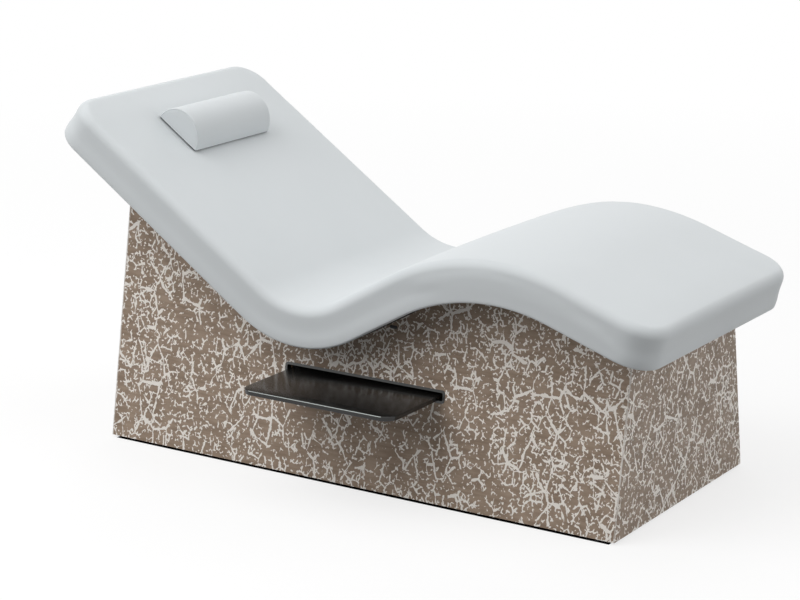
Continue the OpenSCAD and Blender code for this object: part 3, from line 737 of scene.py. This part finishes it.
# %% [markdown]
# ## Printed laminate
# The box is faced with a laminate: a brown, fine-grained wood ground under a pale print of
# bare twigs and short crooked strokes. The print is generic and made of patterns only. The
# borders between the cells of a Voronoi pattern, bent by one noise and broken up by another,
# read as twigs, and the same at two smaller sizes gives twiglets and strokes. The side panels
# take the pattern on X and Z, the end panels on Y and Z, each from its own stretch of the
# endless pattern. Along the cut ends of the side panels a thin pale line is drawn, patchy with
# a noise. The end panels have none, so their line is set out of reach.

# %% Laminate colours and flat patterns
GROUND_DARK = tone(140, 121, 104)
GROUND_LIGHT = tone(168, 148, 130)
PRINT = tone(249, 243, 236)
PALE_END_COLOUR = tone(226, 220, 214)


def vector_step(tree, vector, operation, second):
    """One vector step: a sum, a product or a difference."""
    return add(tree, "VectorMath", {0: vector, 1: second}, operation=operation).outputs[0]


def print_noise(tree, flat, scale, detail=1.0, output=0):
    """Noise on the flat of a panel, as a value or with output 1 as a colour."""
    return add(tree, "TexNoise", {
        "Vector": flat, "Scale": scale, "Detail": detail, "Roughness": 0.55,
    }, noise_dimensions="2D").outputs[output]


def bent(tree, flat, scale, reach):
    """The flat coordinates pushed about by a colour noise."""
    push = vector_step(tree, print_noise(tree, flat, scale, 1.0, 1), "SUBTRACT", (0.5, 0.5, 0.5))
    return vector_step(tree, flat, "ADD", vector_step(tree, push, "MULTIPLY", (reach, reach, 0.0)))


# %% [markdown]
# ## Twigs
# One call draws one size of twig. Its numbers are the cells to a metre, the width of a line,
# how much the cells are squeezed in height, the breaks to a metre, and how much of the line
# the breaks take away. The borders of the cells are bent twice, in wide sweeps and in a fine
# wobble, both set as shares of a cell, because a straight border would look like cracked mud.

# %% Twigs
TWIG_SIZES = (
    (17.0, 0.0046, 0.60, 9.0, 0.52),
    (36.0, 0.0040, 0.75, 20.0, 0.545),
    (72.0, 0.0038, 0.95, 64.0, 0.565),
)
SWEEPS, SWEEP_REACH = 0.8, 0.25
WOBBLES, WOBBLE_REACH = 6.0, 0.08
THINNEST, THICKEST, WIDTH_CHANGES = 0.4, 1.6, 1.8


def twigs(tree, flat, crowd, scale, width, rise, breaks, cover):
    """Lines along the cell borders, kept only where the breaking noise is high."""
    path = bent(tree, flat, SWEEPS * scale, SWEEP_REACH / scale)
    path = bent(tree, path, WOBBLES * scale, WOBBLE_REACH / scale)
    path = vector_step(tree, path, "MULTIPLY", (1.0, rise, 1.0))
    cells = add(tree, "TexVoronoi", {"Vector": path, "Scale": scale},
                voronoi_dimensions="2D", feature="DISTANCE_TO_EDGE")
    thick = spread(tree, print_noise(tree, flat, WIDTH_CHANGES * scale), THINNEST, THICKEST)
    line = calc(tree, "LESS_THAN", cells.outputs["Distance"],
                calc(tree, "MULTIPLY", thick, width * scale / 2))
    kept = calc(tree, "ADD", print_noise(tree, flat, breaks), crowd)
    return calc(tree, "MULTIPLY", line, calc(tree, "GREATER_THAN", kept, cover))


# %% Laminate finish
CROWDS_PER_METRE, CROWD_REACH = 4.0, 0.035
SPOTS_PER_METRE, SPOTS_FROM = 42.0, 0.72
CLOUDS_PER_METRE = 14.0
FIBRES = (9.0, 120.0, 1.0)
FIBRE_HEIGHT = 0.0003
PALE_END_WIDTH = 0.0040


def pale_print(tree, flat):
    """1 where the print lies, in spots and three sizes of twig, and 0 on the ground."""
    crowd = spread(tree, print_noise(tree, flat, CROWDS_PER_METRE), -CROWD_REACH, CROWD_REACH)
    spots = calc(tree, "ADD", print_noise(tree, flat, SPOTS_PER_METRE, 3.0), crowd)
    pale = calc(tree, "GREATER_THAN", spots, SPOTS_FROM)
    for sizes in TWIG_SIZES:
        pale = calc(tree, "MAXIMUM", pale, twigs(tree, flat, crowd, *sizes))
    return pale


def laminate_finish(name, run, shift, panel_end):
    """Printed laminate whose pattern lies on the run axis and Z."""
    finish, tree, shader = new_finish(name, 0.42)
    shader.inputs["Specular IOR Level"].default_value = 0.3
    parts = add(tree, "SeparateXYZ", {0: place_on_object(tree, shift=shift)}).outputs
    flat = add(tree, "CombineXYZ", {0: parts[run], 1: parts["Z"], 2: 0.0}).outputs[0]
    pale = pale_print(tree, flat)
    fibre = print_noise(tree, vector_step(tree, flat, "MULTIPLY", FIBRES), 1.0, 4.0)
    cloud = print_noise(tree, flat, CLOUDS_PER_METRE, 3.0)
    grain = calc(tree, "MULTIPLY", calc(tree, "ADD", fibre, cloud), 0.5)
    ground = mix_colour(tree, step_up(tree, grain, 0.36, 0.64), GROUND_DARK, GROUND_LIGHT)
    face = mix_colour(tree, pale, ground, PRINT)
    place = add(tree, "SeparateXYZ", {0: place_on_object(tree)}).outputs
    # A thin pale line along the side panel's cut ends, patchy with the cloud noise.
    at_end = calc(tree, "GREATER_THAN", calc(tree, "ABSOLUTE", place["X"]), panel_end - PALE_END_WIDTH)
    pale_end_line = calc(tree, "MULTIPLY", at_end, step_up(tree, cloud, 0.3, 0.6, 0.45, 1.0))
    feed(tree, shader, "Base Color", mix_colour(tree, pale_end_line, face, PALE_END_COLOUR))
    feed(tree, shader, "Roughness", step_up(tree, pale, 0.0, 1.0, 0.46, 0.38))
    raise_surface(tree, shader, fibre, 0.05, FIBRE_HEIGHT)
    return finish


# %% Side and end panels
SIDE_SHIFT, END_SHIFT = (3.1, 0.0, 1.7), (0.0, 8.4, 1.7)
OUT_OF_REACH = 2 * base_foot

side_laminate = laminate_finish("printed_laminate_sides", "X", SIDE_SHIFT, base_foot)
end_laminate = laminate_finish("printed_laminate_ends", "Y", END_SHIFT, OUT_OF_REACH)
print("laminate finishes:", side_laminate.name, end_laminate.name)

# %% [markdown]
# ## The tray
# The tray is a thin plate with two round front corners and a polished dark finish. A block
# with rounded front corners gets a narrow bevel all round. Along the straight front, the
# bevel of the upper edge has a bright metal colour, a painted highlight that gives the thin
# line of light there.

# %% Tray finishes
SMEARS_PER_METRE = 14.0

tray_finish, tree, shader = new_finish("dark_gloss", 0.2)
smears = add(tree, "TexNoise", {
    "Vector": place_on_object(tree), "Scale": SMEARS_PER_METRE, "Detail": 4.0}).outputs[0]
shader.inputs["Base Color"].default_value = tone(30, 29, 28)
feed(tree, shader, "Roughness", spread(tree, smears, 0.17, 0.25))

# Painted highlight: a bright metal colour for the upper front bevel.
painted_highlight_edge, tree, shader = new_finish("painted_highlight_edge", 0.2, 1.0)
where = place_on_object(tree, stretch=(6.0, 6.0, 900.0))
lines = add(tree, "TexNoise", {"Vector": where, "Scale": 1.0, "Detail": 3.0}).outputs[0]
feed(tree, shader, "Base Color",
     mix_colour(tree, lines, tone(150, 156, 154), tone(178, 184, 181)))
print("tray finishes:", tray_finish.name, painted_highlight_edge.name)

# %% Tray plate
TRAY_CORNER, TRAY_CORNER_STEPS = 0.040, 20
TRAY_BEVEL, TRAY_BEVEL_STEPS = 0.0016, 3

low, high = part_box("tray_plate")
tray = block(low, high)
front = [e for e in upright_edges(tray) if e.verts[0].co.y < (low.y + high.y) / 2]
round_edges(tray, front, TRAY_CORNER, TRAY_CORNER_STEPS)
round_edges(tray, sharp_edges(tray, 60), TRAY_BEVEL, TRAY_BEVEL_STEPS)
# Only the upper bevel along the straight front takes the painted highlight.
for face in tray.faces:
    face.normal_update()
    middle = face.calc_center_median()
    on_upper_bevel = middle.z > high.z - TRAY_BEVEL and 0.05 < face.normal.z < 0.95
    face.material_index = int(on_upper_bevel and middle.y < low.y + TRAY_BEVEL)
tray_piece = finished(tray, "side_tray", tray_finish, "tray")
tray_piece.data.materials.append(painted_highlight_edge)
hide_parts("tray_plate")
print("tray", [round(x, 3) for x in high - low])

# %% [markdown]
# ## The dust cloth
# A thin black cloth closes the pad's underside inside the turned-in hem of the cover. It is
# one sheet, stretched along the wave and held by the boards below and the shell above. A thin
# block with the hem's round corners is bent in the same way as the pad, and its edge is
# tucked in at the hem. Over the knees it is sliced where the frame's shell has its own bends,
# so that the shell nowhere comes through the cloth.

# %% Cloth finish
FLUFF_PER_METRE, FLUFF_HEIGHT = 600.0, 0.0004

felt, tree, shader = new_finish("dust_cloth_black", 0.95)
fluff = add(tree, "TexNoise", {
    "Vector": place_on_object(tree), "Scale": FLUFF_PER_METRE, "Detail": 4.0}).outputs[0]
feed(tree, shader, "Base Color", mix_colour(tree, fluff, tone(30, 30, 31), tone(58, 58, 60)))
raise_surface(tree, shader, fluff, 0.3, FLUFF_HEIGHT)
shader.inputs["Specular IOR Level"].default_value = 0.1
print("cloth finish:", felt.name)

# %% Dust cloth
CLOTH_TUCK = 0.0005
CLOTH_LOW, CLOTH_HIGH = 0.0005, 0.0014
CLOTH_CORNER_STEPS = 6
KNEE_BENDS = 6

cloth_in = HEM_IN - CLOTH_TUCK
cloth_length = PAD_LENGTH - 2 * cloth_in
cloth_width = PAD_WIDTH - 2 * cloth_in
cloth_corner = PAD_CORNER - cloth_in
cloth = block((cloth_in, -cloth_width / 2, CLOTH_LOW),
              (cloth_in + cloth_length, cloth_width / 2, CLOTH_HIGH))
round_edges(cloth, upright_edges(cloth), cloth_corner, CLOTH_CORNER_STEPS)
slice_across(cloth, 0, back_run, thigh_at, PAD_STRIP)
slice_across(cloth, 0, knee_at, leg_at, (leg_at - knee_at) / KNEE_BENDS)
for vertex in cloth.verts:
    vertex.co.x, vertex.co.z = on_wave(vertex.co.x, vertex.co.z)
cloth_piece = finished(cloth, "dust_sheet", felt, "base", smooth=False)
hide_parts("dust_cloth")
print("dust cloth", round(cloth_width, 3), "by", round(cloth_length, 3), "m")

# %% [markdown]
# ## Finishes for the frame's own nodes
# The boards, rails, guides and fixings keep their CAD shape and only need their finish: raw
# board inside, black paint on the plinth, brushed trim, moulded plastic, zinc on the steel.
# Three functions make all of them but the foam, because kinds of wood, of speckled surface and
# of brushed metal differ only in colour, grain and gloss. The foam has bubbles of its own.

# %% Board, ply and foam
GRAIN_HEIGHT = 0.0005
BUBBLES_PER_METRE, BUBBLE_HEIGHT = 800.0, 0.0006


def board_finish(name, light, dark, fibre_stretch):
    """Wood whose grain is drawn out along the axes that are stretched least."""
    finish, tree, shader = new_finish(name, 0.7)
    where = place_on_object(tree, stretch=fibre_stretch)
    fibres = add(tree, "TexNoise", {
        "Vector": where, "Scale": 1.0, "Detail": 6.0, "Roughness": 0.65}).outputs[0]
    grain = step_up(tree, fibres, 0.35, 0.65)
    feed(tree, shader, "Base Color", mix_colour(tree, grain, dark, light))
    raise_surface(tree, shader, fibres, 0.2, GRAIN_HEIGHT)
    return finish


board = board_finish("raw_board", tone(205, 180, 144), tone(172, 144, 108), (90.0, 90.0, 240.0))
ply = board_finish("moulded_ply", tone(214, 186, 146), tone(188, 158, 118), (14.0, 160.0, 160.0))

foam, tree, shader = new_finish("upholstery_foam", 0.95)
bubbles = add(tree, "TexVoronoi", {
    "Vector": place_on_object(tree), "Scale": BUBBLES_PER_METRE}).outputs["Distance"]
feed(tree, shader, "Base Color",
     mix_colour(tree, bubbles, tone(205, 190, 140), tone(238, 226, 182)))
raise_surface(tree, shader, bubbles, 0.4, BUBBLE_HEIGHT)
print("wood and foam:", board.name, ply.name, foam.name)

# %% Paint, metal, plastic and rubber
SPECKLE_HEIGHT = 0.0003
BRUSHED = (12.0, 1500.0, 1500.0)


def speckled_finish(name, colour, second, roughness, metallic=0.0, scale=500.0, bump=0.1):
    """A fine even texture between two close colours."""
    finish, tree, shader = new_finish(name, roughness, metallic)
    speckle = add(tree, "TexNoise", {
        "Vector": place_on_object(tree), "Scale": scale, "Detail": 3.0}).outputs[0]
    feed(tree, shader, "Base Color", mix_colour(tree, speckle, colour, second))
    feed(tree, shader, "Roughness", spread(tree, speckle, roughness - 0.05, roughness + 0.05))
    raise_surface(tree, shader, speckle, bump, SPECKLE_HEIGHT)
    return finish


def brushed_finish(name, colour, second, roughness):
    """Metal with fine lines along X."""
    finish, tree, shader = new_finish(name, roughness, 1.0)
    lines = add(tree, "TexNoise", {
        "Vector": place_on_object(tree, stretch=BRUSHED), "Scale": 1.0, "Detail": 3.0}).outputs[0]
    feed(tree, shader, "Base Color", mix_colour(tree, lines, colour, second))
    feed(tree, shader, "Roughness", spread(tree, lines, roughness - 0.06, roughness + 0.06))
    return finish


plinth_paint = speckled_finish("plinth_paint", tone(26, 26, 27), tone(40, 40, 41), 0.6)
zinc = speckled_finish(
    "zinc_plating", tone(176, 179, 184), tone(204, 206, 208), 0.38, 1.0, 60.0, 0.03)
guide_plastic = speckled_finish(
    "guide_plastic", tone(24, 24, 25), tone(34, 34, 36), 0.5, 0.0, 900.0)
grip = speckled_finish("grip_rubber", tone(52, 52, 54), tone(66, 66, 68), 0.85, 0.0, 1200.0, 0.3)
trim = brushed_finish("slot_trim_metal", tone(72, 72, 72), tone(98, 99, 98), 0.35)
stop_bar = brushed_finish("dark_metal", tone(58, 58, 60), tone(82, 82, 84), 0.4)
print("paint, metal, plastic and rubber: 6 finishes")

# %% Put the finishes on the nodes
SLOT_FINISH = {
    "black_rail": plinth_paint, "board": board, "moulded_ply": ply, "vinyl_cover": vinyl,
    "foam": foam, "dust_cloth": felt, "slot_trim": trim, "tray_gloss": tray_finish,
    "dark_metal": stop_bar, "black_plastic": guide_plastic, "grip_rubber": grip,
    "zinc_steel": zinc, "printed_laminate": side_laminate,
}
END_FACES = ("head_laminate", "foot_laminate")

for part in frame["record"]["subparts"]:
    name = part["node"]
    finish = end_laminate if name in END_FACES else SLOT_FINISH[part["material_slot"]]
    node = frame["nodes"][name]
    node.data.materials.clear()
    node.data.materials.append(finish)

# %% [markdown]
# ## The dressed model's size
# The dressed model must keep the frame's size, so its box is printed.

# %% The dressed model's size
low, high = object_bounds()
print("size", [round(x, 3) for x in high - low])
